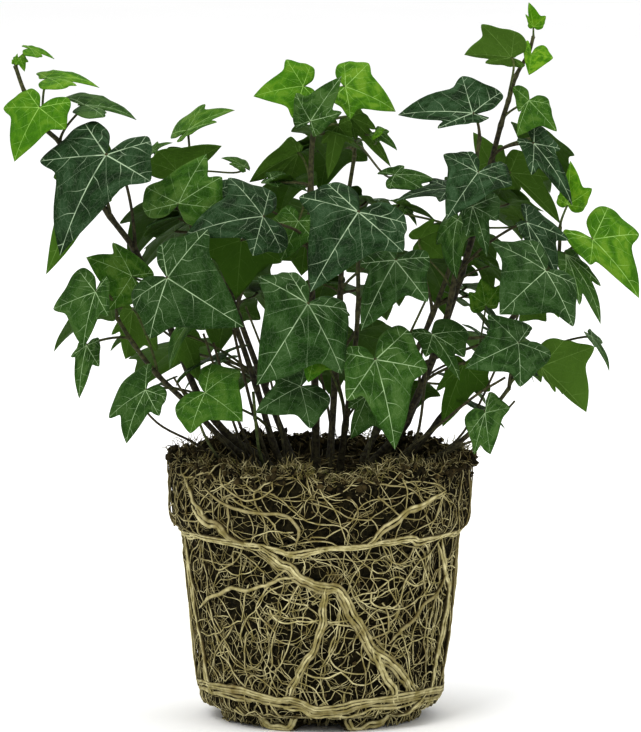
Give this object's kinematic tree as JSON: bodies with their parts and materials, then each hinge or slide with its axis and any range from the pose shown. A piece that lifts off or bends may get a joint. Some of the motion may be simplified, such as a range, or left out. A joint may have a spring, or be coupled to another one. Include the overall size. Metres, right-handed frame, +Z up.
{
  "type": "ivy plant with bare root ball",
  "caption": "Bushy ivy plant with lobed pale-veined leaves on thin shoots, standing on a bare root ball that keeps the shape of its nursery pot.",
  "frame": {"origin": "centre of the root ball's flat underside, where it stands", "axes": "+Z up along the plant, +X to the plant's right as seen from its front, -Y towards the front"},
  "size_m": [0.2622, 0.1676, 0.292],
  "materials": {
    "soil": "dark damp compost, matt and crumbly",
    "root": "dry pale tan root bark, matt",
    "shoot": "brown to green-purple ivy shoot and leaf stalk, matt",
    "old_leaf": "dark green waxy mature ivy leaf with pale veins, satin",
    "young_leaf": "light green young ivy leaf with pale veins, satin"
  },
  "bodies": {
    "root": {"back_left_shoot": "shoot", "back_middle_shoot": "shoot", "back_right_shoot": "shoot", "back_root": "root", "centre_root": "root", "centre_shoot": "shoot", "collar_root": "root", "foot_root": "root", "front_left_shoot": "shoot", "front_shoot": "shoot", "leaf_back_left": "old_leaf", "leaf_back_left_high": "old_leaf", "leaf_back_left_low": "old_leaf", "leaf_back_middle": "old_leaf", "leaf_back_middle_high": "old_leaf", "leaf_back_middle_low": "old_leaf", "leaf_back_right": "old_leaf", "leaf_back_right_high": "old_leaf", "leaf_back_right_low": "old_leaf", "leaf_back_side": "old_leaf", "leaf_centre_large": "old_leaf", "leaf_centre_left": "old_leaf", "leaf_centre_right": "old_leaf", "leaf_centre_top": "old_leaf", "leaf_centre_top_left": "young_leaf", "leaf_centre_top_right": "young_leaf", "leaf_front_large": "old_leaf", "leaf_front_left": "old_leaf", "leaf_front_left_low": "old_leaf", "leaf_front_right": "old_leaf", "leaf_left_dark": "old_leaf", "leaf_left_large": "old_leaf", "leaf_left_low": "old_leaf", "leaf_left_middle": "old_leaf", "leaf_left_outer": "young_leaf", "leaf_left_upper": "young_leaf", "leaf_left_wavy": "old_leaf", "leaf_right_dark": "old_leaf", "leaf_right_hanging": "old_leaf", "leaf_right_inner": "old_leaf", "leaf_right_large": "old_leaf", "leaf_right_low": "old_leaf", "leaf_right_low_outer": "old_leaf", "leaf_right_outer": "young_leaf", "leaf_right_pointed": "young_leaf", "leaf_right_slanting": "old_leaf", "leaf_right_small": "young_leaf", "leaf_right_tip": "young_leaf", "leaf_right_top": "old_leaf", "leaf_right_wide": "old_leaf", "left_low_shoot": "shoot", "left_root": "root", "left_shoot": "shoot", "main_root": "root", "right_far_shoot": "shoot", "right_low_shoot": "shoot", "right_mid_shoot": "shoot", "right_root": "root", "right_shoot": "shoot", "soil_plug": "soil"}
  },
  "joints": []
}
